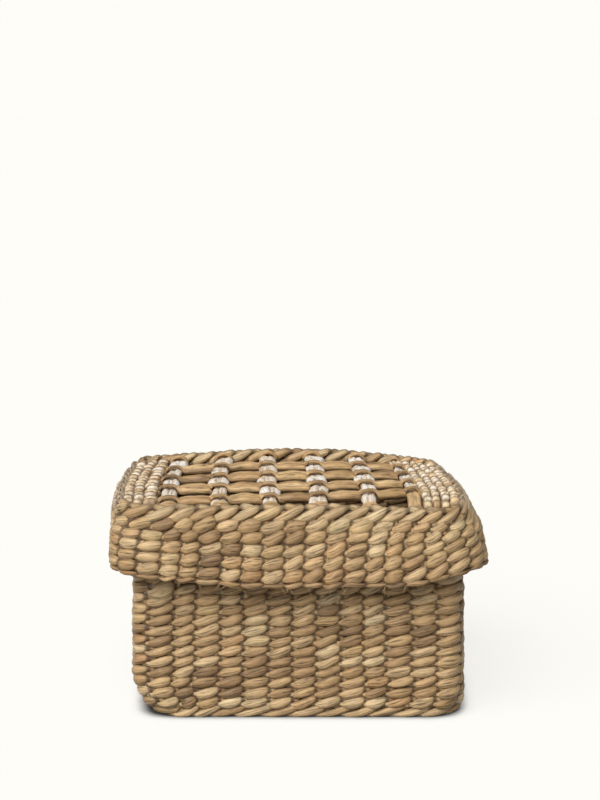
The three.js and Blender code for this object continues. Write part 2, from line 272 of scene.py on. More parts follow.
@dataclass
class Twine:
    """The shape of one twisted course. Lengths are in metres.

    A stitch is highest and thickest where it stands out of the wall. Lead moves that place along, pinch and
    flat are the shares of height and thickness left at the crossings, tip and heel shape the two ends, and
    dive says how squarely a strand goes under. Crevice and shadow say how dark the painted shade on a tucked
    end is and how far that painted shade reaches. Gather brings the rings closer at the crossings, and gain
    steepens the stitches to the right.
    """

    strands: int
    half_height: float
    half_thickness: float
    swing: float
    rise: float
    lead: float = 0.15
    pinch: float = 0.28
    tip: float = 0.95
    heel: float = 0.80
    dive: float = 0.80
    crevice_shade: float = 0.85
    gather: float = 0.04
    gain: float = 0.0
    flat: float = 0.72
    shadow: float = 0.30
    rings: int = 20
    sides: int = 10

    def turn(self, along, strand):
        return FULL_TURN * (along - (strand + 0.5) / self.strands)

    def spread(self, even):
        """Where the rings of a repeat sit: closer at the crossings, where a stitch's ends are round."""
        return even - self.gather * np.sin(2.0 * FULL_TURN * even + 2.0 * self.lead)

    def depth(self, turn):
        swung = np.cos(turn + self.lead)
        return np.sign(swung) * np.abs(swung) ** self.dive

    def crossing(self, turn):
        """The share of painted shade: one where a stitch's end dives under the next stitch, and just before a
        stitch comes out.
        """
        swung = np.cos(turn + self.lead)
        tail = ease(swung, self.shadow, 0.02) * ease(swung, -0.5, -0.2)
        head = ease(swung, -0.04, -0.24) * ease(swung, -0.6, -0.3)
        return np.where(np.sin(turn + self.lead) > 0.0, tail, head)

    def line(self, turn):
        sharpness = 0.97
        straight = np.arcsin(sharpness * np.sin(turn)) / math.asin(sharpness)
        return -self.swing * self.depth(turn), self.rise * straight

    def section(self, turn):
        share = ((turn + QUARTER_TURN + self.lead) / math.pi) % 1.0
        crest = self.tip / (self.tip + self.heel)
        most = crest ** self.tip * (1.0 - crest) ** self.heel
        full = (share ** self.tip * (1.0 - share) ** self.heel / most) ** 0.75
        height = self.half_height * (self.pinch + (1.0 - self.pinch) * full)
        thickness = self.half_thickness * (self.flat + (1.0 - self.flat) * full)
        return thickness, height


def wall_twine(half_height, rise, **shape):
    return Twine(2, half_height, sizes().thickness, sizes().swing, rise, **shape)


def border_twine(half_height, half_thickness, swing, rise, pinch, rings=20):
    """Three long strands that slant across a border."""
    return Twine(3, half_height, half_thickness, swing, rise, lead=0.3, pinch=pinch, tip=1.0, heel=0.67,
                 dive=1.0, gather=0.0, rings=rings)


@dataclass
class Hand:
    """How unevenly a course is worked, and the tones of its stalks and their bleaching, which is partly
    painted sheen.
    """

    amount: float
    tone: float
    spread: float
    bleach_and_sheen: float = 0.0


def add_strand(name, rings, sides, number=0, twine=None):
    """A flat sheet, one unit square, whose X runs along a strand and whose Y runs round it.

    Each strand of a course has its own stripe of the UV map, with the rings where the twine has them.
    """
    deselect_all()
    bpy.ops.mesh.primitive_grid_add(x_subdivisions=rings, y_subdivisions=sides, size=1.0, calc_uvs=True)
    sheet = rename(bpy.context.active_object, name)
    layer = sheet.data.uv_layers.active
    places = np.empty(2 * len(sheet.data.loops), dtype=np.float32)
    layer.uv.foreach_get("vector", places)
    places = places.reshape(-1, 2)
    margin = 0.02
    places[:, 1] = number + margin + (1.0 - 2.0 * margin) * places[:, 1]
    if twine:
        places[:, 0] = twine.spread(places[:, 0])
    layer.uv.foreach_set("vector", places.ravel())
    return sheet


def roll(sheet, centre_across, centre_up, half_across, half_up, length):
    """Roll a sheet round a line along X. The line and the section are given for each vertex."""
    points = points_of(sheet)
    around = FULL_TURN * (points[:, 1] + 0.5)
    points[:, 0] = (points[:, 0] + 0.5) * length
    points[:, 1] = centre_across + half_across * np.cos(around)
    points[:, 2] = centre_up - half_up * np.sin(around)
    put_points(sheet, points)


def model_repeat(name, twine, length):
    """One full twist of a course, its strands side by side, modelled once for the whole course."""
    strands = []
    for number in range(twine.strands):
        strand = add_strand(f"{name}_{number}", twine.rings, twine.sides, number, twine)
        points = points_of(strand)
        points[:, 0] = twine.spread(points[:, 0] + 0.5) - 0.5
        put_points(strand, points)
        turn = twine.turn(points[:, 0] + 0.5, number)
        roll(strand, *twine.line(turn), *twine.section(turn), length)
        weld(strand)
        strands.append(strand)
    return join(strands, name)


def repeat_along(piece, copies, length):
    """Copy a piece end to end along X, and let its UV map run on."""
    array = piece.modifiers.new("repeat", "ARRAY")
    array.use_relative_offset = False
    array.use_constant_offset = True
    array.constant_offset_displace = (length, 0.0, 0.0)
    array.count = copies
    array.use_merge_vertices = True
    array.merge_threshold = WELD
    array.offset_u = 1.0
    pick(piece)
    bpy.ops.object.modifier_apply(modifier=array.name)


def stalk_tones(random, strands, passes, middle, spread):
    """Tones in runs, because one stalk lasts for several stitches, with a little change in each."""
    shortest_run, longest_run = 5, 12
    between_stalks, in_one_stalk, most = 0.6, 0.8, 2.2
    tones = np.empty((strands, passes))
    for strand in range(strands):
        place = 0
        while place < passes:
            run = int(random.integers(shortest_run, longest_run))
            tones[strand, place:place + run] = random.normal(0.0, between_stalks)
            place += run
    tones += random.normal(0.0, in_one_stalk, tones.shape)
    return middle + spread * np.clip(tones, -most, most)


def stalk_hues(random, strands, passes):
    """Most stalks are plain straw. Some are olive and some russet."""
    olive, olive_share = 0.08, 0.17
    russet, russet_share = 0.95, 0.11
    hues = 0.5 + 0.1 * random.normal(size=(strands, passes))
    chance = random.random((strands, passes))
    hues[chance < olive_share] = olive
    hues[chance > 1.0 - russet_share] = russet
    return hues


def column_wander(share):
    """Columns of stitches are not all as wide. A wall's courses share this, and it is nothing at the seam."""
    reach = 0.0006
    shift = np.zeros_like(share)
    for waves, size, phase in ((7, 0.9, 1.3), (11, 0.8, 4.1), (17, 0.6, 2.2), (23, 0.5, 5.4)):
        shift += size * (np.sin(FULL_TURN * waves * share + phase) - math.sin(phase))
    return reach * shift


def work_by_hand(course, twine, copies, length, random, hand, closed):
    """Make a straight course uneven, as hand work is, and give its stalks tones, hues, painted shade at the
    crossings and rows' edges, and bleaching, partly painted sheen, on the crowns.
    """
    along, around = strand_places(course)
    strand = np.floor(around).astype(int)
    turn = twine.turn(along, strand)
    passes = 2 * copies
    which = np.floor(turn / math.pi + 0.5).astype(int) % passes
    grip = np.abs(np.cos(turn)) ** 0.6

    def each_pass(size):
        return (size * hand.amount * random.normal(size=(twine.strands, passes)))[strand, which]

    points = points_of(course)
    across, up = twine.line(turn)
    plump = 1.0 + grip * np.clip(each_pass(0.10), -0.06, 0.22)
    bulge = grip * np.clip(each_pass(0.00035), -0.0006, 0.0006)
    slip = grip * np.clip(each_pass(0.0003), -0.0005, 0.0005)
    tilt = each_pass(0.0006) * np.sin(turn) * grip
    points[:, 1] = across + (points[:, 1] - across) * (0.5 + 0.5 * plump) - bulge
    points[:, 2] = up + (points[:, 2] - up) * plump + slip + tilt
    share = points[:, 0] / (copies * length)
    points[:, 2] += twine.gain * np.sin(FULL_TURN * share) * up
    points[:, 0] += hand.amount * column_wander(share)
    for waves in (3, 5, 8):
        drift = 0.0006 * hand.amount * random.normal()
        points[:, 0] += drift * np.sin(FULL_TURN * waves * share)
    if not closed:
        points[:, 1:] *= round_ends(along, reach=0.12, whole=copies)[:, None]
    put_points(course, points)

    # Painted shade along each strand's top and bottom edges, where rows meet, and where stitches cross
    edges = np.abs(np.sin(FULL_TURN * around)) ** 11.0
    tuck_shade = np.maximum(twine.crevice_shade * twine.crossing(turn), 0.95 * edges)
    tone = stalk_tones(random, twine.strands, passes, hand.tone, hand.spread)[strand, which]
    hue = stalk_hues(random, twine.strands, passes)[strand, which]
    # Bleaching on the stitches' crowns: partly pale skin, partly painted sheen
    outward = np.clip(twine.depth(turn), 0.0, 1.0)
    stain_and_shade(course, tone, hue, tuck_shade, hand.bleach_and_sheen * outward)


def twine_course(name, twine, copies, length, random, hand, closed=True):
    """A straight course of so many repeats of one length, worked by hand."""
    course = model_repeat(name, twine, length)
    repeat_along(course, copies, length)
    work_by_hand(course, twine, copies, length, random, hand, closed)
    return course


def flat_stalk(name, rings, up, half_width, length, tone, tuck_shade):
    """A flat stalk inside a mat, band or border, which closes the slits between its strands and is darkened
    there as painted shade.
    """
    half_thickness = 0.0008
    stalk = add_strand(name, rings, sides=6)
    roll(stalk, 0.0, up, half_thickness, half_width, length)
    stain_and_shade(stalk, tone, tuck_shade=tuck_shade)
    return stalk


# Laying a course round a wall or along a line

def outline(half_width, half_depth, radius, inset, shift):
    """Even points round an inset rounded rectangle, from the front's middle rightwards, and their length."""
    half_width -= inset
    half_depth -= inset
    radius = max(radius - inset, LEAST_CORNER)
    corner_x = half_width - radius
    corner_y = half_depth - radius
    arc = QUARTER_TURN * radius
    legs = [corner_x, arc, 2.0 * corner_y, arc, 2.0 * corner_x, arc, 2.0 * corner_y, arc, corner_x]
    ends = np.cumsum(legs)
    starts = [(0.0, -half_depth), (half_width, -corner_y), (corner_x, half_depth), (-half_width, corner_y),
              (-corner_x, -half_depth)]
    headings = [(1.0, 0.0), (0.0, 1.0), (-1.0, 0.0), (0.0, -1.0), (1.0, 0.0)]
    centres = [(corner_x, -corner_y), (corner_x, corner_y), (-corner_x, corner_y), (-corner_x, -corner_y)]
    places = (np.arange(PATH_POINTS) / PATH_POINTS * ends[-1] + shift) % ends[-1]
    points = np.zeros((PATH_POINTS, 3))
    for point, place in zip(points, places):
        leg = min(int(np.searchsorted(ends, place, side="right")), len(legs) - 1)
        into = place - (ends[leg] - legs[leg])
        side = leg // 2
        if leg % 2 == 0:
            point[:2] = np.add(starts[side], np.multiply(headings[side], into))
        else:
            angle = QUARTER_TURN * (side - 1) + into / radius
            point[:2] = np.add(centres[side], (radius * math.cos(angle), radius * math.sin(angle)))
    steps = np.roll(points, -1, axis=0) - points
    return points, float(np.linalg.norm(steps, axis=1).sum())


def lay_round(course, path_points):
    """Bend a straight course round a closed path with a Curve modifier."""
    curve = bpy.data.curves.new("lay_path", "CURVE")
    curve.dimensions = "3D"
    spline = curve.splines.new("POLY")
    spline.points.add(len(path_points) - 1)
    spline.points.foreach_set("co", np.column_stack([path_points, np.ones(len(path_points))]).ravel())
    spline.use_cyclic_u = True
    path = bpy.data.objects.new("lay_path", curve)
    bpy.context.collection.objects.link(path)
    bend = course.modifiers.new("lay", "CURVE")
    bend.object = path
    bend.deform_axis = "POS_X"
    pick(course)
    bpy.ops.object.modifier_apply(modifier=bend.name)
    bpy.data.objects.remove(path)
    bpy.data.curves.remove(curve)


def lay_straight(course, start, along, outward):
    """Turn a straight course so that X runs along a line and its face looks outward, and move it there."""
    across = np.cross(along, outward)
    rows = [(along[axis], -outward[axis], across[axis], start[axis]) for axis in range(3)]
    course.data.transform(Matrix(rows + [(0.0, 0.0, 0.0, 1.0)]))


def ring_size(node):
    low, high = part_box(node)
    return (high.x - low.x) / 2, (high.y - low.y) / 2, low.z, high.z


def weave_ring(node, twine, passes, radius, shift, middle, seed, hand):
    """Twine one closed course in place of a ring of the solid model, its line at a share of the height."""
    half_width, half_depth, low, high = ring_size(node)
    inset = twine.swing + twine.half_thickness - sizes().proud
    path, length = outline(half_width, half_depth, radius, inset, shift)
    copies = passes // twine.strands
    random = np.random.default_rng(seed)
    course = twine_course(f"rush_{node}", twine, copies, length / copies, random, hand)
    points = points_of(course)
    points[:, 2] += low + (high - low) * middle
    put_points(course, points)
    lay_round(course, path)
    weld(course)
    return course


def wave_rows(piece, amount):
    """Slow waves that all courses of a wall share, so that they lie close."""
    points = points_of(piece)
    angle = np.arctan2(points[:, 1], points[:, 0])
    for waves, size, phase in ((5.0, 1.0, 0.4), (9.0, 0.7, 2.1), (14.0, 0.5, 4.0)):
        points[:, 2] += amount * size * np.sin(waves * angle + phase)
    put_points(piece, points)


# Shapes of use, which the courses of the base and of the lid share

def bow_out(points, node):
    """Bow the two short sides out between the corners, and draw the corners in by a share of that."""
    drawn_in = 0.4
    half_width, half_depth = ring_size(node)[:2]
    middle = 1.0 - np.clip(points[:, 1] / half_depth, -1.0, 1.0) ** 2
    points[:, 0] += sizes().bow * (middle - drawn_in) * np.clip(points[:, 0] / half_width, -1.0, 1.0)


def up_the_lid(z):
    """Nothing at the lid's hem and one at its shoulder."""
    hem_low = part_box("lid_hem")[0].z
    shoulder_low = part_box("lid_shoulder_border")[0].z
    return np.clip((z - hem_low) / (shoulder_low - hem_low), 0.0, 1.0)


def near_back(y):
    return ease(y, -0.060, 0.090)


def right_side_lean(x, y):
    """How far the right side leans in at the shoulder, more at the back."""
    return (sizes().right_lean + sizes().back_pull * near_back(y)) * ease(x, 0.055, 0.127)


def lid_sag(x, y, up):
    """How far the lid's top has sunk: at both back corners, and along the front's shoulder."""
    middle_rise = 0.0012
    front_sag, more_at_right = 0.0020, 0.0034
    right = ease(x, 0.020, 0.120)
    left = ease(x, -0.020, -0.120)
    corners = sizes().back_drop * right + sizes().left_drop * left - middle_rise * (1.0 - right - left)
    front = (front_sag + more_at_right * right) * ease(y, -0.060, -0.085)
    return corners * near_back(y) * up + front * up ** 4


def settle_base(piece):
    """Bow the base's sides, turn its left foot under, and press its rim down with the lid."""
    points = points_of(piece)
    bow_out(points, BASE_ROWS[0])
    x, y, z = points.T.copy()
    tuck_height = 0.028
    back_share = 0.45
    under = np.clip(1.0 - z / tuck_height, 0.0, 1.0) ** 1.3
    near_left = ease(x, -0.045, -0.110)
    near_front = back_share + (1.0 - back_share) * ease(y, 0.080, -0.020)
    points[:, 0] += sizes().foot_tuck * under * near_left * near_front
    points[:, 0] -= right_side_lean(x, y) * up_the_lid(z) ** 2
    points[:, 2] -= (sizes().rim_drop + lid_sag(x, y, 1.0)) * ease(z, 0.110, 0.146)
    put_points(piece, points)


def settle_lid(piece):
    """Bow the lid's sides, raise its hem at the front corners, lean its right side in and sink its top."""
    points = points_of(piece)
    bow_out(points, "lid_hem")
    x, y, z = points.T.copy()
    up = up_the_lid(z)
    near_front = ease(y, 0.075, -0.035)
    near_left = np.clip((-x - 0.030) / 0.098, 0.0, 1.0) ** 1.2
    corners = sizes().corner_lift * ease(x, 0.070, 0.132) + sizes().left_lift * near_left
    inner = 1.0 - ease(np.abs(x), 0.075, 0.115)
    top_depth = 0.190
    front_slant = 0.0026
    from_middle = y / top_depth
    slant = sizes().rib_slant * (0.5 + from_middle) - front_slant * (0.5 - from_middle) * inner
    points[:, 0] -= (right_side_lean(x, y) + slant) * up ** 2
    points[:, 2] += corners * near_front * (1.0 - up) - lid_sag(x, y, up)
    put_points(piece, points)


# Base

def base_corner(height):
    """The base's corner radius, which grows where the foot turns under."""
    low = max(0.0, 1.0 - height / sizes().foot_height)
    turned = 1.0 - math.sqrt(1.0 - low * low)
    return sizes().base_radius + (sizes().foot_radius - sizes().base_radius) * turned


def swell_stitch(course, place, reach):
    """Puff up the front's stitch at one place across the box, and make it pale."""
    taller, forward, pale_tone = 0.75, 0.0022, 0.74
    points = points_of(course)
    near = np.exp(-((points[:, 0] - place) / reach) ** 4) * (points[:, 1] < 0.0)
    middle = points[:, 2].mean()
    points[:, 2] = middle + (points[:, 2] - middle) * (1.0 + taller * near)
    points[:, 1] -= forward * near
    put_points(course, points)
    stains = stains_of(course)
    stains[near > 0.5, 0] = pale_tone
    put_stains(course, stains)


def weave_base_courses():
    swollen_row = BASE_ROWS[11]
    for index, node in enumerate(BASE_ROWS):
        low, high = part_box(node)
        twine = wall_twine(half_height=0.585 * (high.z - low.z), rise=0.0020)
        course = weave_ring(node, twine, sizes().base_stitches, base_corner((low.z + high.z) / 2),
                            sizes().base_shift, middle=0.5, seed=100 + index,
                            hand=Hand(amount=1.0, tone=0.57, spread=0.15))
        wave_rows(course, amount=0.00022)
        if node == swollen_row:
            swell_stitch(course, place=-0.0985, reach=0.0095)
        settle_base(course)
        hand_over(course, "base", "rush_weave", [node])


def weave_base_borders():
    foot = border_twine(half_height=0.0032, half_thickness=0.0024, swing=0.0020, rise=0.0031, pinch=0.25)
    course = weave_ring("base_bottom_border", foot, sizes().foot_strands, base_corner(height=0.0035),
                        shift=0.0, middle=0.60, seed=201, hand=Hand(amount=0.7, tone=0.66, spread=0.12))
    points = points_of(course)
    points[:, 2] = np.maximum(points[:, 2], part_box("base_bottom_border")[0].z)
    put_points(course, points)
    settle_base(course)
    hand_over(course, "base", "rush_border", ["base_bottom_border"])

    rim = border_twine(half_height=0.0030, half_thickness=0.0022, swing=0.0020, rise=0.0026, pinch=0.36)
    course = weave_ring("base_rim_border", rim, sizes().rim_strands, sizes().base_radius,
                        shift=0.0, middle=0.42, seed=202, hand=Hand(amount=0.7, tone=0.60, spread=0.12))
    settle_base(course)
    hand_over(course, "base", "rush_border", ["base_rim_border"])


def mat_reach(place, half_along, half_across, radius):
    """How far the floor mat, with its round corners, reaches from the middle at a place across it."""
    into_corner = max(abs(place) - (half_across - radius), 0.0)
    return half_along - radius + math.sqrt(max(radius ** 2 - into_corner ** 2, 0.0))


def weave_base_floor():
    low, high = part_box("base_floor")
    half_width, half_depth = ring_size("base_floor")[:2]
    level = (low.z + high.z) / 2
    inside_foot = 0.006
    course_overhang, slat_overhang = 0.003, 0.002
    radius = sizes().foot_radius - inside_foot
    pitch = 2.0 * half_depth / sizes().floor_courses
    twine = Twine(strands=2, half_height=0.56 * pitch, half_thickness=0.0016, swing=0.0013, rise=0.0012,
                  rings=12, sides=8)
    hand = Hand(amount=0.6, tone=0.58, spread=0.12)
    copies = sizes().floor_stitches // 2
    strips = []
    for index in range(sizes().floor_courses):
        y = low.y + (index + 0.5) * pitch
        reach = mat_reach(y, half_width, half_depth, radius) + course_overhang
        course = twine_course(f"floor_course_{index}", twine, copies, 2.0 * reach / copies,
                              np.random.default_rng(300 + index), hand, closed=False)
        lay_straight(course, (-reach, y, level), TO_RIGHT, UP)
        strips.append(course)
    pitch = 2.0 * half_width / sizes().floor_slats
    for index in range(sizes().floor_slats):
        x = low.x + (index + 0.5) * pitch
        reach = mat_reach(x, half_depth, half_width, radius) + slat_overhang
        slat = flat_stalk(f"floor_slat_{index}", 40, 0.0, 0.58 * pitch, 2.0 * reach, tone=0.40, tuck_shade=0.45)
        lay_straight(slat, (x, -reach, level), TO_BACK, UP)
        strips.append(slat)
    for strip in strips:
        weld(strip)
    mat = join(strips, "rush_base_floor")
    points = points_of(mat)
    points[:, 2] = np.clip(points[:, 2], low.z, high.z)
    put_points(mat, points)
    settle_base(mat)
    hand_over(mat, "base", "rush_border", ["base_floor"])


def model_stake(name, low, high, half_width, half_thickness):
    """One flat upright stalk, rolled along X and stood up."""
    stake = add_strand(name, rings=24, sides=8)
    taper = round_ends(points_of(stake)[:, 0] + 0.5, reach=0.02)
    roll(stake, 0.0, 0.0, half_thickness * taper, half_width * taper, high - low)
    points = points_of(stake)
    put_points(stake, np.stack([points[:, 2], points[:, 1], low + points[:, 0]], axis=1))
    return stake


def turn_under(points, half_width, half_depth, inset):
    """Pull what stands in the base's corners in to where the foot turns under."""
    radius = np.array([base_corner(height) for height in points[:, 2]]) - inset
    into_x = np.abs(points[:, 0]) - (half_width - inset - radius)
    into_y = np.abs(points[:, 1]) - (half_depth - inset - radius)
    reach = np.hypot(into_x, into_y)
    outside = (into_x > 0.0) & (into_y > 0.0) & (reach > radius)
    excess = np.where(outside, 1.0 - radius / np.maximum(reach, radius), 0.0)
    points[:, 0] -= np.sign(points[:, 0]) * into_x * excess
    points[:, 1] -= np.sign(points[:, 1]) * into_y * excess


def stand_stakes(node, rows, count, low, high, radius, shift, seed, amount, has_foot=False):
    """A ring of stakes that follows the wall's own slope. The wall's rows are given from the bottom up. The
    stakes stand under the crossings and are stained dark as painted shade in the gaps between stitches.
    """
    widths, depths, lows, highs = np.array([ring_size(row) for row in rows]).T
    heights = (lows + highs) / 2
    inset = sizes().swing + sizes().thickness - sizes().proud
    widest = widths.argmax()
    path, length = outline(widths[widest], depths[widest], radius, inset, shift)
    half_thickness = 0.0010
    stakes = model_stake(f"rush_{node}", low, high, half_width=0.0042, half_thickness=half_thickness)
    repeat_along(stakes, count, length / count)
    points = points_of(stakes)
    # Move the stakes under the crossings, so that their dark fills the gaps there as painted shade
    share_to_left = 0.1
    points[:, 0] -= share_to_left * length / count
    points[:, 0] += amount * column_wander(points[:, 0] / length)
    points[:, 1] += widths[widest] - np.interp(points[:, 2], heights, widths)
    put_points(stakes, points)
    which = np.floor(strand_places(stakes)[0] - 1e-6).astype(int) % count
    # Dark tones and strong tucked-end darkness: painted shade in the gaps between stitches
    tones = 0.34 + 0.10 * np.random.default_rng(seed).normal(size=count)
    stain_and_shade(stakes, tones[which], tuck_shade=0.80)
    lay_round(stakes, path)
    if has_foot:
        points = points_of(stakes)
        half_width = np.interp(points[:, 2], heights, widths)
        half_depth = np.interp(points[:, 2], heights, depths)
        turn_under(points, half_width, half_depth, inset - half_thickness)
        put_points(stakes, points)
    weld(stakes)
    return stakes


def stand_base_stakes():
    into_rim = 0.003
    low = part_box("base_bottom_border")[1].z
    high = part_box("base_rim_border")[0].z + into_rim
    stakes = stand_stakes("base_stakes", BASE_ROWS, 2 * sizes().base_stitches, low, high, sizes().base_radius,
                          sizes().base_shift, seed=401, amount=1.0, has_foot=True)
    settle_base(stakes)
    hand_over(stakes, "base", "rush_stake", ["base_stakes"])


# Lid wall

def weave_lid_courses():
    for index, node in enumerate(LID_ROWS):
        low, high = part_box(node)
        pitch = high.z - low.z
        twine = wall_twine(half_height=0.61 * pitch, rise=0.0020, tip=0.8, heel=0.65, gain=0.55)
        stitches = sizes().lid_stitches
        if node == LID_ROWS[-1]:
            twine = wall_twine(half_height=0.66 * pitch, rise=0.0025, pinch=0.45, tip=0.8, heel=0.65,
                               gain=0.2)
            stitches = sizes().shoulder_strands
        course = weave_ring(node, twine, stitches, sizes().lid_radius, sizes().lid_shift, middle=0.5,
                            seed=500 + index, hand=Hand(amount=1.25, tone=0.59, spread=0.16))
        wave_rows(course, amount=0.0003)
        settle_lid(course)
        hand_over(course, "lid", "rush_weave", [node])


def hang_wisps():
    """Short loose fibres that stick out of the hem's front, and every fourth one out of a side."""
    count = 26
    shortest, longest = 0.003, 0.008
    half_thickness = 0.00032
    leftmost_slope, rightmost_slope = -150.0, -20.0
    half_width, half_depth, low, _ = ring_size("lid_hem")
    random = np.random.default_rng(650)
    wisps = []
    for index in range(count):
        length = shortest + (longest - shortest) * random.random()
        wisp = add_strand(f"wisp_{index}", rings=8, sides=5)
        along = points_of(wisp)[:, 0] + 0.5
        thin = half_thickness * np.sqrt(np.clip(1.02 - along, 0.0, 1.0))
        bend = 0.0022 * (random.random() - 0.3) * along ** 2
        roll(wisp, -bend, 0.0, thin, thin, length)
        slope = math.radians(random.uniform(leftmost_slope, rightmost_slope))
        if index % 4 == 3:
            side = 1.0 if index % 8 == 3 else -1.0
            start = (side * (half_width - 0.002), random.uniform(-0.06, 0.06), low + 0.0015)
            lay_straight(wisp, start, (0.0, math.cos(slope), math.sin(slope)), (side, 0.0, 0.0))
        else:
            start = (random.uniform(-0.1, 0.1), -half_depth + 0.0015, low + 0.0015)
            lay_straight(wisp, start, (math.cos(slope), 0.0, math.sin(slope)), TO_FRONT)
        stain_and_shade(wisp, random.uniform(0.5, 0.9))
        weld(wisp)
        wisps.append(wisp)
    return wisps


def lay_core(node, half_height, inset, middle):
    """A core, darkened as painted shade, that runs inside a border of the lid, so that no light comes through
    its strands.
    """
    half_width, half_depth, low, high = ring_size(node)
    path, length = outline(half_width, half_depth, sizes().lid_radius, inset, 0.0)
    level = low + (high - low) * middle
    core = flat_stalk(f"{node}_core", 160, level, half_height, length, tone=0.3, tuck_shade=0.85)
    lay_round(core, path)
    weld(core)
    return core


def weave_lid_borders():
    shoulder = border_twine(half_height=0.0042, half_thickness=0.0027, swing=0.0021, rise=0.0044, pinch=0.22,
                            rings=22)
    course = weave_ring("lid_shoulder_border", shoulder, sizes().shoulder_strands, sizes().lid_radius,
                        shift=0.0, middle=0.44, seed=601, hand=Hand(amount=0.9, tone=0.70, spread=0.13))
    points = points_of(course)
    x, y = np.abs(points[:, :2]).T
    along_side = ease(x, 0.114, 0.124) * ease(y, 0.082, 0.062)
    side_drop = 0.0030
    # Painted sheen: the shoulder's stitches along the lid's sides are whitened where light glances off them
    side_sheen = 0.30
    points[:, 2] -= side_drop * along_side
    put_points(course, points)
    stains = stains_of(course)
    stains[:, 3] = side_sheen * along_side
    put_stains(course, stains)
    inset = shoulder.swing + shoulder.half_thickness - sizes().proud
    core = lay_core("lid_shoulder_border", half_height=0.0038, inset=inset, middle=0.38)
    course = join([course, core], "rush_lid_shoulder_border")
    settle_lid(course)
    hand_over(course, "lid", "rush_border", ["lid_shoulder_border"])

    wisps = hang_wisps()
    hem = Twine(strands=2, half_height=0.0022, half_thickness=0.0019, swing=0.0015, rise=0.0006, rings=12,
                sides=8)
    course = weave_ring("lid_hem", hem, sizes().lid_stitches, sizes().lid_radius, sizes().lid_shift,
                        middle=0.60, seed=602, hand=Hand(amount=1.6, tone=0.36, spread=0.12))
    wave_rows(course, amount=0.0003)
    course = join([course] + wisps, "rush_lid_hem")
    settle_lid(course)
    hand_over(course, "lid", "rush_border", ["lid_hem"])


def stand_lid_stakes():
    above_hem, into_shoulder = 0.002, 0.002
    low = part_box("lid_hem")[0].z + above_hem
    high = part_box("lid_shoulder_border")[0].z + into_shoulder
    stakes = stand_stakes("lid_stakes", LID_ROWS, 2 * sizes().lid_stitches, low, high, sizes().lid_radius,
                          sizes().lid_shift, seed=701, amount=1.25)
    settle_lid(stakes)
    hand_over(stakes, "lid", "rush_stake", ["lid_stakes"])


# Lid top

def bleach_sheen_and_shade_beads(course, copies, random):
    """Bleach some beads of a band less than others, and leave its last end, at the front, tan.

    The creases between beads get painted shade, and the bleaching, partly pale skin and partly painted sheen,
    is strongest on each bead's crest.
    """
    along, _ = strand_places(course)
    stains = stains_of(course)
    bead = np.floor(2.0 * along + 0.5).astype(int)
    share = np.clip(0.8 + 0.35 * random.normal(size=bead.max() + 1), 0.15, 1.2)[bead]
    crest = 1.0 - 2.0 * np.abs(2.0 * along - bead)
    # Painted shade in the creases between beads
    stains[:, 2] = np.maximum(stains[:, 2], 0.85 * (1.0 - ease(crest / 0.45)))
    stains[:, 3] *= share * ease(crest / 0.6) * ease(along, copies - 0.25, copies - 1.15)
    put_stains(course, stains)


def weave_bands():
    for index, node in enumerate(LEFT_BANDS + RIGHT_BANDS):
        low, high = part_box(node)
        width = high.x - low.x
        depth = high.y - low.y
        middle = (low.x + high.x) / 2
        inmost = node in (LEFT_BANDS[-1], RIGHT_BANDS[-1])
        outmost = node in (LEFT_BANDS[0], RIGHT_BANDS[0])
        inward = 1.0 if node in LEFT_BANDS else -1.0
        half_height = (0.66 if inmost else 0.55) * width
        twine = Twine(2, half_height, half_thickness=0.0030, swing=0.0015, rise=0.0005, lead=0.0, pinch=0.40,
                      tip=0.9, heel=0.9, dive=0.9, crevice_shade=1.0, gather=0.0, flat=0.45, shadow=0.55)
        copies = sizes().band_stitches // 2
        random = np.random.default_rng(800 + index)
        course = twine_course(f"rush_{node}", twine, copies, depth / copies, random,
                              Hand(amount=1.2, tone=0.58, spread=0.16, bleach_and_sheen=0.84), closed=False)
        bleach_sheen_and_shade_beads(course, copies, random)
        level = high.z - twine.swing - twine.half_thickness
        to_ribs = 0.0011 * inmost
        aside = 0.0022 * outmost
        lay_straight(course, (middle + inward * to_ribs, high.y, level), TO_FRONT, UP)
        slat = flat_stalk(f"{node}_slat", 40, 0.0, 0.62 * width + aside, depth, tone=0.40, tuck_shade=0.45)
        lay_straight(slat, (middle - inward * aside, low.y, level), TO_BACK, UP)
        course = join([course, slat], f"rush_{node}")
        settle_lid(course)
        weld(course)
        hand_over(course, "lid", "rush_pale", [node], "rush_band_finish")


def cross_row_place(row, x):
    """Where a cross row crosses a place on the lid's top. The rows run a little to the back at the right."""
    low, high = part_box(f"lid_cross_row_{row}a")
    other_low, other_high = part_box(f"lid_cross_row_{row}b")
    middle = (min(low.y, other_low.y) + max(high.y, other_high.y)) / 2
    slant, curve = CROSS_ROWS[row]
    return middle + slant * x + curve * np.maximum(x, 0.0) ** 2


def arch_over(name, place, half_span, rise):
    """A thin brown cord of the shoulder that arches over the end of a rib."""
    half_thickness = 0.0013
    sunk = 0.001
    cord = add_strand(name, rings=16, sides=8)
    points = points_of(cord) + 0.5
    along = math.pi * points[:, 0]
    around = FULL_TURN * points[:, 1]
    thick = half_thickness * round_ends(points[:, 0], reach=0.06)
    out = thick * np.cos(around)
    points[:, 0] = place[0] - (half_span + out) * np.cos(along)
    points[:, 1] = place[1] + thick * np.sin(around)
    points[:, 2] = place[2] - sunk + (rise + out) * np.sin(along)
    put_points(cord, points)
    # A little painted shade on the cord
    stain_and_shade(cord, tone=0.34, tuck_shade=0.15)
    weld(cord)
    return cord


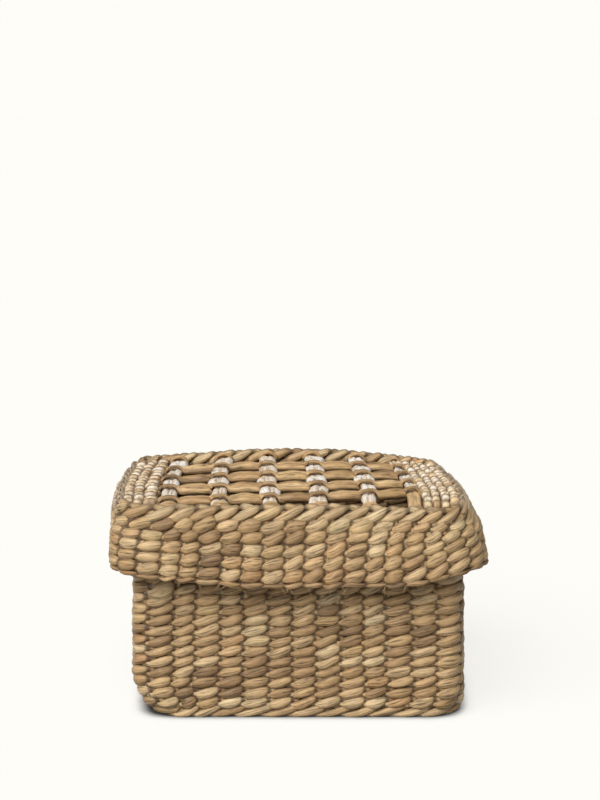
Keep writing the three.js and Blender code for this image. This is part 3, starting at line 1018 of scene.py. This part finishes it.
def model_rib_stalk(node, side, rows, phases, random):
    """One of a rib's two stalks, which puff up between the cross rows. The last rib's front end is bare."""
    flat, puffed, crinkled = 0.0012, 0.0017, 0.0003
    puff_lift = 0.0012
    overlap = 0.66
    low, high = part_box(node)
    stalk = add_strand(f"{node}_stalk_{side}", rings=96, sides=14, number=int(side > 0))
    points = points_of(stalk)
    along = points[:, 0] + 0.5
    around = FULL_TURN * (points[:, 1] + 0.5)
    y = low.y + along * (high.y - low.y)
    bare = ease(y, rows[0] + 0.002, rows[0] - 0.001) * (node == RIBS[-1])
    loops = np.concatenate([[2 * rows[0] - rows[1]], rows, [2 * rows[-1] - rows[-2]]])
    puff_place = np.interp(y, loops, np.arange(len(loops)))

    def each_puff(middle, spread, least, most):
        values = np.clip(middle + spread * random.normal(size=len(loops) + 1), least, most)
        return values[np.floor(puff_place).astype(int)]

    swell = (1.0 - bare) * np.abs(np.sin(math.pi * puff_place)) ** 0.6
    girth = 1.0 + swell * each_puff(0.0, 0.14, -0.2, 0.2)
    astray = swell * each_puff(0.0, 0.0009, -0.0014, 0.0014)
    whiteness = each_puff(0.90, 0.20, 0.40, 1.0)
    crinkle = np.sin(y * 330.0 + phases[0]) * np.cos(y * 173.0 + phases[1] + side) * swell
    filled = 0.95 + 0.72 * np.maximum(swell, 0.9 * bare) + 0.12 * crinkle
    half_width = (high.x - low.x) / 4 * filled * girth
    half_height = flat + puffed * swell + crinkled * crinkle
    waver = 0.0003 * side * np.sin(y * 120.0 + phases[2])
    wander = 0.0006 * np.sin(y * 60.0 + phases[3])
    middle = (low.z + high.z) / 2 + puff_lift * swell + waver
    across = side * half_width * overlap + wander + astray
    crease = 1.0 + swell * 0.20 * np.sin(5.0 * around + 90.0 * y + phases[4])
    taper = round_ends(along, reach=0.01)
    roll(stalk, across, middle, half_width * taper, half_height * taper * crease, high.y - low.y)
    rolled = points_of(stalk)
    centre = (low.x + high.x) / 2
    put_points(stalk, np.stack([centre - rolled[:, 1], low.y + rolled[:, 0], rolled[:, 2]], axis=1))
    # Painted shade at the waists under the loops; on the puffs, bleaching that is partly pale skin and partly
    # painted sheen
    tuck_shade = 0.5 * (1.0 - swell) ** 3.0 * (1.0 - bare)
    bleach_and_sheen = (1.0 - bare) * (0.10 + 0.90 * swell ** 1.8) * whiteness
    stain_and_shade(stalk, tone=0.50 - 0.02 * bare, tuck_shade=tuck_shade, bleach_and_sheen=bleach_and_sheen)
    weld(stalk)
    return stalk


def lay_ribs():
    for index, node in enumerate(RIBS):
        low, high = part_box(node)
        x, z = (low.x + high.x) / 2, (low.z + high.z) / 2
        rows = np.array([cross_row_place(row, x) for row in CROSS_ROWS])
        phases = FULL_TURN * np.random.default_rng(900 + index).random(5)
        stalks = []
        for side in (-1, 1):
            stalks.append(model_rib_stalk(node, side, rows, phases, np.random.default_rng(950 + index)))
        front_end = low.y + 0.0085
        back_end = high.y - 0.0035
        for end, lean in ((front_end, -1.0), (back_end, 1.0)):
            for beside in (0.0, 0.0024):
                place = (x, end + lean * beside, z)
                rise = 0.0066 - 0.5 * beside
                stalks.append(arch_over(f"{node}_arch", place, half_span=0.0070, rise=rise))
        rib = join(stalks, f"rush_{node}")
        settle_lid(rib)
        hand_over(rib, "lid", "rush_pale", [node])


def strand_phase(x, rib_middles):
    """Half a turn from rib to rib, held still over each rib and beside its partner between them."""
    hold = 0.0036
    ramp_length = 0.0036
    phase = np.full_like(x, -QUARTER_TURN)
    starts = np.concatenate([rib_middles - hold - ramp_length, rib_middles + hold])
    for start in starts:
        phase += QUARTER_TURN * ease(x, start, start + ramp_length)
    return phase


def bow_over(x, rib_middles, rib_half):
    """One in the middle of each rib, nothing at its edges, and turned over at every second rib."""
    bow = np.zeros_like(x)
    for rib, middle in enumerate(rib_middles):
        bow += (-1.0) ** rib * np.clip(1.0 - ((x - middle) / rib_half) ** 2, 0.0, 1.0)
    return bow


def model_cross_stalk(node, row, over, side, random):
    """One of a cross strand's two stalks, which pass over and under the ribs and swell between them."""
    thin, swollen = 0.0011, 0.0019
    most_under_band = 0.0013
    over_rib, past_rib = 0.0017, 0.0006
    low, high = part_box(node)
    ribs = [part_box(rib) for rib in RIBS]
    rib_middles = np.array([(rib_low.x + rib_high.x) / 2 for rib_low, rib_high in ribs])
    rib_half = np.mean([rib_high.x - rib_low.x for rib_low, rib_high in ribs]) / 2 + past_rib
    level = (ribs[0][0].z + ribs[0][1].z) / 2
    loop_lift = max(rib_high.z for _, rib_high in ribs) - level + over_rib
    stalk = add_strand(f"{node}_stalk_{side}", rings=180, sides=10, number=int(side > 0))
    points = points_of(stalk) + 0.5
    along, around = points[:, 0], points[:, 1]
    x = low.x + along * (high.x - low.x)
    phase = strand_phase(x, rib_middles)
    span = np.floor(phase / math.pi + 1.0).astype(int)

    def each_span(middle, spread):
        return (middle + spread * random.normal(size=len(RIBS) + 3))[span]

    first, last = rib_middles[0], rib_middles[-1]
    between = ease(x, first - 0.003, first + 0.001) * ease(x, last + 0.003, last - 0.001)
    from_rib = np.abs(x[:, None] - rib_middles[None, :]).min(axis=1)
    spindle = 0.62 + 0.38 * ease(from_rib, 0.004, 0.016)
    fat = ease(np.abs(np.sin(phase)), 0.45, 1.0) ** 0.6 * (0.55 + 0.45 * between) * spindle
    plump = 1.0 + each_span(0.0, 0.12) * fat
    lumps = 1.0 + 0.05 * np.sin(x * 190.0 + 7.0 * random.random()) + 0.04 * np.sin(x * 467.0 + row)
    half_across = (thin + swollen * fat) * plump * lumps * round_ends(along, reach=0.012)
    under_band = (x < first - 0.014) | (x > last + 0.012)
    half_up = np.where(under_band, np.minimum(half_across, most_under_band), half_across)
    beside = side * (0.0014 * (1.0 - fat) + 0.0004 * fat)
    above = side * 0.0005 * fat * np.where(under_band, 0.4, 1.0)
    sway = -0.0025 * over * np.sin(phase)
    across = cross_row_place(row, x) + sway + beside + each_span(0.0, 0.0008) * fat
    arch = 0.0009 * np.cos(phase) ** 6.0 * over * bow_over(x, rib_middles, rib_half)
    up = level + 0.0012 * fat * ~under_band + over * loop_lift * np.cos(phase) + arch + above
    roll(stalk, across, up, half_across, half_up, high.x - low.x)
    stalk.data.transform(Matrix.Translation((low.x, 0.0, 0.0)))
    tone = each_span(0.46, 0.12)
    hue = np.clip(each_span(0.40, 0.2), 0.0, 0.8)
    # Painted shade on each stalk's underside, and where it thins to pass under a rib
    below = ease(around, 0.56, 0.24) + ease(around, 0.86, 0.98)
    stain_and_shade(stalk, tone, hue, np.maximum(0.30 * (1.0 - fat) ** 2.0, 0.85 * below * fat))
    weld(stalk)
    return stalk


def lay_cross_rows():
    for row in CROSS_ROWS:
        first = 1.0 if row % 2 == 1 else -1.0
        for letter, over in (("a", first), ("b", -first)):
            node = f"lid_cross_row_{row}{letter}"
            random = np.random.default_rng(1000 + 10 * row + int(over))
            stalks = [model_cross_stalk(node, row, over, side, random) for side in (-1, 1)]
            strand = join(stalks, f"rush_{node}")
            settle_lid(strand)
            hand_over(strand, "lid", "rush_strand", [node])


# Finishes

def feed(tree, socket, value):
    """Link a socket to an output, or set it to a number or a colour."""
    if isinstance(value, bpy.types.NodeSocket):
        tree.links.new(value, socket)
    elif isinstance(value, (int, float)):
        socket.default_value = value
    else:
        socket.default_value = (value[0], value[1], value[2], 1.0)


def add_node(tree, kind, inputs=None, **settings):
    made = tree.nodes.new(kind)
    for name, value in settings.items():
        setattr(made, name, value)
    for socket, value in (inputs or {}).items():
        feed(tree, made.inputs[socket], value)
    return made


def ramp(tree, source, stops):
    made = add_node(tree, "ShaderNodeValToRGB", {"Fac": source})
    elements = made.color_ramp.elements
    while len(elements) < len(stops):
        elements.new(0.5)
    for element, (place, colour) in zip(elements, stops):
        element.position = place
        element.color = (colour[0], colour[1], colour[2], 1.0)
    return made.outputs["Color"]


def grey(value):
    return (value, value, value)


def mix(tree, blend, factor, first, second):
    inputs = {0: factor, 6: first, 7: second}
    return add_node(tree, "ShaderNodeMix", inputs, data_type="RGBA", blend_type=blend).outputs[2]


def maths(tree, operation, *values):
    return add_node(tree, "ShaderNodeMath", dict(enumerate(values)), operation=operation).outputs[0]


def noise(tree, place, scale, detail, roughness=0.5):
    inputs = {"Vector": place, "Scale": scale, "Detail": detail, "Roughness": roughness}
    return add_node(tree, "ShaderNodeTexNoise", inputs).outputs["Fac"]


def new_material(name):
    material = bpy.data.materials.new(name)
    material.use_nodes = True
    return material, material.node_tree, material.node_tree.nodes["Principled BSDF"]


def make_rush(name, fibres_along, fibres_round, stops, smoothest, bump_size, line_tone, whiten):
    """Dried rush: fibres along the strand, stalks of their own tone, painted shade on tucked ends and in
    crevices, bleached skin with painted sheen.
    """
    _, tree, shader = new_material(name)
    stalk = add_node(tree, "ShaderNodeAttribute", attribute_name="stalk").outputs
    parts = add_node(tree, "ShaderNodeSeparateColor", {"Color": stalk["Color"]}).outputs
    tone, hue, tuck_shade = parts["Red"], parts["Green"], parts["Blue"]
    strand = add_node(tree, "ShaderNodeUVMap", uv_map="UVMap").outputs["UV"]
    split = add_node(tree, "ShaderNodeSeparateXYZ", {0: strand}).outputs
    where = add_node(tree, "ShaderNodeCombineXYZ", {
        0: maths(tree, "MULTIPLY", split[0], fibres_along),
        1: maths(tree, "MULTIPLY", split[1], fibres_round),
        2: maths(tree, "MULTIPLY", tone, 31.0),
    }).outputs[0]
    fibre = noise(tree, where, scale=1.0, detail=3.0, roughness=0.6)
    spot = add_node(tree, "ShaderNodeTexCoord").outputs["Object"]
    blotch = noise(tree, spot, scale=95.0, detail=4.0)

    olive, russet, plain = (0.97, 0.97, 0.90), (1.0, 0.92, 0.86), grey(1.0)
    tints = [(0.0, olive), (0.3, plain), (0.7, plain), (1.0, russet)]
    soft_line = 0.5 + 0.5 * line_tone ** 0.35
    lines = [(0.33, grey(line_tone)), (0.45, grey(soft_line)), (0.55, plain), (0.70, grey(1.22))]
    patches = [(0.3, grey(0.82)), (0.5, plain), (0.7, grey(1.1))]
    colour = ramp(tree, tone, stops)
    for source, shades in ((hue, tints), (fibre, lines), (blotch, patches)):
        colour = mix(tree, "MULTIPLY", 1.0, colour, ramp(tree, source, shades))
    # Bleached skin in flakes, partly pale skin and partly painted sheen, mixed towards the pale colour
    if whiten:
        skin = maths(tree, "MULTIPLY", noise(tree, spot, scale=330.0, detail=3.0), 0.55)
        torn = maths(tree, "MULTIPLY_ADD", fibre, 0.45, skin)
        flakes = ramp(tree, torn, [(0.44, grey(0.0)), (0.51, plain)])
        cover = maths(tree, "MULTIPLY_ADD", flakes, 0.82, 0.18)
        bleached = maths(tree, "MULTIPLY", stalk["Alpha"], cover)
        colour = mix(tree, "MIX", bleached, colour, colours().pith_and_sheen)
    # Painted shade: tucked ends, crevices, row edges, stakes and slats are darkened towards the shade colour
    colour = mix(tree, "MIX", maths(tree, "MULTIPLY", tuck_shade, 0.92), colour, colours().shade)

    rough = add_node(tree, "ShaderNodeMapRange", {
        "Value": fibre, "From Min": 0.3, "From Max": 0.75, "To Min": smoothest + 0.2, "To Max": smoothest})
    bump = add_node(tree, "ShaderNodeBump", {"Strength": 0.7, "Distance": bump_size, "Height": fibre})
    feed(tree, shader.inputs["Base Color"], colour)
    feed(tree, shader.inputs["Roughness"], rough.outputs[0])
    feed(tree, shader.inputs["Specular IOR Level"], 0.5)
    feed(tree, shader.inputs["Normal"], bump.outputs["Normal"])


def make_finishes():
    shades = colours()
    weave = [(0.12, shades.umber), (0.40, shades.tan), (0.60, shades.straw), (0.92, shades.pale)]
    light = [(0.10, shades.tan), (0.45, shades.straw), (0.85, shades.pale)]
    # Fibres along and round a strand, its shades, least roughness, depth of the fibres, tone of the lines
    # between them, and whether its skin is bleached, which also paints sheen
    finishes = {
        "rush_weave_finish": (2.4, 21.0, weave, 0.38, 0.0012, 0.30, False),
        "rush_border_finish": (2.4, 19.0, weave, 0.38, 0.0012, 0.30, True),
        "rush_strand_finish": (22.0, 12.0, weave, 0.40, 0.0008, 0.34, False),
        "rush_pale_finish": (5.0, 11.0, light, 0.32, 0.0010, 0.40, True),
        "rush_band_finish": (3.0, 7.0, light, 0.42, 0.0006, 0.62, True),
        "rush_stake_finish": (3.0, 10.0, weave, 0.55, 0.0006, 0.5, False),
    }
    for name, values in finishes.items():
        make_rush(name, *values)


# Stage

def show_blend(tree, share, first, second, output):
    blend = add_node(tree, "ShaderNodeMixShader", {0: share, 1: first, 2: second})
    tree.links.new(blend.outputs[0], tree.nodes[output].inputs["Surface"])


def make_backdrop(lit_share):
    """Shows the backdrop's colour to the camera, keeps the box's shadow, paints a shadow where the box meets
    the floor and throws little light back up.
    """
    material, tree, shader = new_material("studio_backdrop")
    shader.inputs["Roughness"].default_value = 0.9
    shader.inputs["Specular IOR Level"].default_value = 0.1
    # Painted shadow: near the box the floor's colour and glow darken with ambient occlusion
    contact_shadow = add_node(tree, "ShaderNodeAmbientOcclusion", {"Distance": 0.014}, samples=16).outputs["AO"]
    shadow = [(0.30, grey(0.04)), (0.50, grey(0.45)), (0.72, grey(0.93)), (0.95, grey(1.0))]
    shown = mix(tree, "MULTIPLY", 1.0, studio().backdrop, ramp(tree, contact_shadow, shadow))
    rays = add_node(tree, "ShaderNodeLightPath").outputs
    thrown_back = grey(0.28)
    colour = mix(tree, "MIX", rays["Is Camera Ray"], thrown_back, shown)
    feed(tree, shader.inputs["Base Color"], colour)
    glow = add_node(tree, "ShaderNodeEmission", {"Color": shown})
    seen = maths(tree, "MAXIMUM", rays["Is Camera Ray"], rays["Is Glossy Ray"])
    seen = maths(tree, "MAXIMUM", seen, rays["Is Transmission Ray"])
    share = maths(tree, "MULTIPLY", seen, 1.0 - lit_share)
    show_blend(tree, share, shader.outputs[0], glow.outputs[0], "Material Output")
    return material


def set_world():
    world = bpy.data.worlds.new("rush_studio")
    world.use_nodes = True
    tree = world.node_tree
    light = tree.nodes["Background"]
    feed(tree, light.inputs["Color"], (1.0, 0.99, 0.97))
    feed(tree, light.inputs["Strength"], studio().sky)
    show = add_node(tree, "ShaderNodeBackground", {"Color": studio().backdrop, "Strength": 1.0})
    rays = add_node(tree, "ShaderNodeLightPath").outputs
    seen = maths(tree, "MAXIMUM", rays["Is Camera Ray"], rays["Is Transmission Ray"])
    show_blend(tree, seen, light.outputs[0], show.outputs[0], "World Output")
    bpy.context.scene.world = world


def add_lamp(name, from_side, spread, strength):
    """A soft light without falloff, so that the floor stays even. It shines from the given direction."""
    deselect_all()
    bpy.ops.object.light_add(type="SUN", location=from_side)
    lamp = bpy.context.active_object
    lamp.name = name
    lamp.data.angle = spread
    lamp.data.energy = strength
    lamp.rotation_mode = "QUATERNION"
    lamp.rotation_quaternion = (-Vector(from_side)).to_track_quat("-Z", "Y")


def set_stage():
    deselect_all()
    bpy.ops.mesh.primitive_plane_add(size=60.0, location=(0.0, 0.0, 0.0))
    floor = bpy.context.active_object
    floor.name = "studio_floor"
    floor.data.materials.append(make_backdrop(lit_share=0.15))
    set_world()
    add_lamp("key_light", (-0.5, -0.9, 1.3), math.radians(50.0), studio().key_strength)
    add_lamp("fill_light", (-1.2, -1.0, 0.55), math.radians(80.0), studio().fill_strength)

    deselect_all()
    eye = (studio().eye_side, -studio().eye_back, studio().eye_height)
    bpy.ops.object.camera_add(location=eye, rotation=(QUARTER_TURN - studio().pitch, 0.0, 0.0))
    camera = bpy.context.active_object
    camera.name = "photo_camera"
    camera.data.sensor_fit = "VERTICAL"
    camera.data.sensor_height = 36.0
    camera.data.lens = studio().lens
    bpy.context.scene.camera = camera
    bpy.context.scene.view_settings.view_transform = "Standard"


# Operators, panel and the run

class RUSH_OT_finishes(bpy.types.Operator):
    """Mix the rush finishes"""

    bl_idname = "rush.finishes"
    bl_label = "Rush finishes"

    def execute(self, context):
        make_finishes()
        return {"FINISHED"}


class RUSH_OT_base_courses(bpy.types.Operator):
    """Twine the base's courses"""

    bl_idname = "rush.base_courses"
    bl_label = "Base courses"

    def execute(self, context):
        weave_base_courses()
        return {"FINISHED"}


class RUSH_OT_base_borders(bpy.types.Operator):
    """Twine the base's bottom and rim borders"""

    bl_idname = "rush.base_borders"
    bl_label = "Base borders"

    def execute(self, context):
        weave_base_borders()
        return {"FINISHED"}


class RUSH_OT_base_floor(bpy.types.Operator):
    """Weave the floor mat"""

    bl_idname = "rush.base_floor"
    bl_label = "Floor mat"

    def execute(self, context):
        weave_base_floor()
        return {"FINISHED"}


class RUSH_OT_base_stakes(bpy.types.Operator):
    """Stand the stakes in the base's wall"""

    bl_idname = "rush.base_stakes"
    bl_label = "Base stakes"

    def execute(self, context):
        stand_base_stakes()
        return {"FINISHED"}


class RUSH_OT_lid_courses(bpy.types.Operator):
    """Twine the lid wall's courses"""

    bl_idname = "rush.lid_courses"
    bl_label = "Lid courses"

    def execute(self, context):
        weave_lid_courses()
        return {"FINISHED"}


class RUSH_OT_lid_borders(bpy.types.Operator):
    """Twine the lid's shoulder border and hem"""

    bl_idname = "rush.lid_borders"
    bl_label = "Lid borders"

    def execute(self, context):
        weave_lid_borders()
        return {"FINISHED"}


class RUSH_OT_lid_stakes(bpy.types.Operator):
    """Stand the stakes in the lid's wall"""

    bl_idname = "rush.lid_stakes"
    bl_label = "Lid stakes"

    def execute(self, context):
        stand_lid_stakes()
        return {"FINISHED"}


class RUSH_OT_bands(bpy.types.Operator):
    """Twine the side bands of the lid's top"""

    bl_idname = "rush.bands"
    bl_label = "Side bands"

    def execute(self, context):
        weave_bands()
        return {"FINISHED"}


class RUSH_OT_ribs(bpy.types.Operator):
    """Lay the lid's pale ribs"""

    bl_idname = "rush.ribs"
    bl_label = "Ribs"

    def execute(self, context):
        lay_ribs()
        return {"FINISHED"}


class RUSH_OT_cross_rows(bpy.types.Operator):
    """Lay the lid's cross rows over and under the ribs"""

    bl_idname = "rush.cross_rows"
    bl_label = "Cross rows"

    def execute(self, context):
        lay_cross_rows()
        return {"FINISHED"}


class RUSH_OT_stage(bpy.types.Operator):
    """Set the floor, light and camera"""

    bl_idname = "rush.stage"
    bl_label = "Stage"

    def execute(self, context):
        set_stage()
        return {"FINISHED"}


STEPS = (
    RUSH_OT_finishes,
    RUSH_OT_base_courses,
    RUSH_OT_base_borders,
    RUSH_OT_base_floor,
    RUSH_OT_base_stakes,
    RUSH_OT_lid_courses,
    RUSH_OT_lid_borders,
    RUSH_OT_lid_stakes,
    RUSH_OT_bands,
    RUSH_OT_ribs,
    RUSH_OT_cross_rows,
    RUSH_OT_stage,
)


class RUSH_PT_box(bpy.types.Panel):
    """Lists the steps and the sizes"""

    bl_idname = "RUSH_PT_box"
    bl_label = "Twined rush box"
    bl_space_type = "VIEW_3D"
    bl_region_type = "UI"
    bl_category = "Rush box"

    def draw(self, context):
        for step in STEPS:
            self.layout.operator(step.bl_idname)
        for group in (sizes(), colours(), studio()):
            for name in group.bl_rna.properties.keys():
                if name not in ("rna_type", "name"):
                    self.layout.prop(group, name)


CLASSES = (RushSizes, RushColours, RushStudio) + STEPS + (RUSH_PT_box,)


def register():
    for kind in CLASSES:
        bpy.utils.register_class(kind)
    bpy.types.Scene.rush_sizes = bpy.props.PointerProperty(type=RushSizes)
    bpy.types.Scene.rush_colours = bpy.props.PointerProperty(type=RushColours)
    bpy.types.Scene.rush_studio = bpy.props.PointerProperty(type=RushStudio)


def unregister():
    del bpy.types.Scene.rush_studio
    del bpy.types.Scene.rush_colours
    del bpy.types.Scene.rush_sizes
    for kind in reversed(CLASSES):
        bpy.utils.unregister_class(kind)


def main():
    register()
    bpy.ops.rush.finishes()
    bpy.ops.rush.base_courses()
    bpy.ops.rush.base_borders()
    bpy.ops.rush.base_floor()
    bpy.ops.rush.base_stakes()
    bpy.ops.rush.lid_courses()
    bpy.ops.rush.lid_borders()
    bpy.ops.rush.lid_stakes()
    bpy.ops.rush.bands()
    bpy.ops.rush.ribs()
    bpy.ops.rush.cross_rows()
    bpy.ops.rush.stage()


if __name__ == "__main__":
    main()
